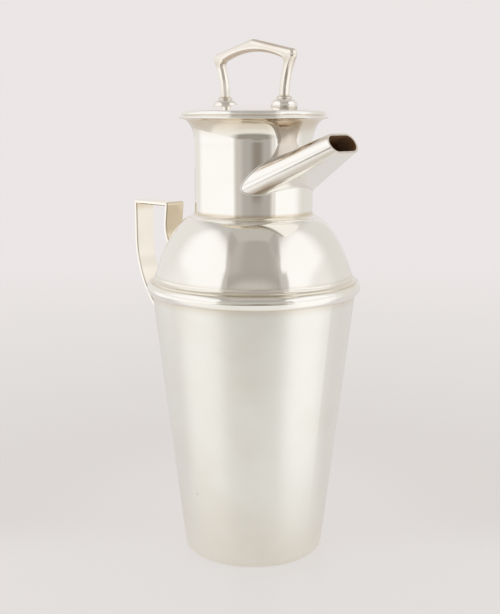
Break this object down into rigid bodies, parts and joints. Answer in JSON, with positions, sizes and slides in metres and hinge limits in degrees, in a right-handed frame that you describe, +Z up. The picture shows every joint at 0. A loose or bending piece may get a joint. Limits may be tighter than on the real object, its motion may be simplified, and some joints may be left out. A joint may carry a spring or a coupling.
{
  "type": "lidded pouring pot",
  "caption": "Silver-plated coffee pot: tapered beaker under a domed shoulder, straight neck with an oval tube spout, square-bent strap handle and a lift-off lid with a bow handle.",
  "frame": {"origin": "middle of the flat bottom, on the table", "axes": "+Z up along the pot's axis, +X towards the spout, -X towards the strap handle"},
  "size_m": [0.1476, 0.1094, 0.262],
  "materials": {
    "polished_silver": "polished",
    "satin_silver": "satin",
    "strap_silver": "polished",
    "spout_silver": "polished",
    "fastener_brass": "satin"
  },
  "bodies": {
    "vessel": {"beaker_wall": "satin_silver", "beaker_base": "satin_silver", "rim_bead": "polished_silver", "shoulder_flange": "polished_silver", "shoulder_dome": "polished_silver", "neck_seat_ring": "polished_silver", "neck_drum": "polished_silver", "lip_wire": "polished_silver", "spout": "spout_silver", "spout_strainer": "polished_silver", "strap_handle": "strap_silver"},
    "lid": {"lid_plate": "polished_silver", "lid_edge": "polished_silver", "lid_bezel": "polished_silver", "lid_handle": "polished_silver", "front_handle_foot": "polished_silver", "rear_handle_foot": "polished_silver", "handle_washers": "fastener_brass", "handle_nuts": "fastener_brass"}
  },
  "joints": [
    {"name": "lid_lift", "type": "slide", "parent": "vessel", "child": "lid", "axis": [0, 0, 1], "range_m": [0, 0.06]}
  ]
}
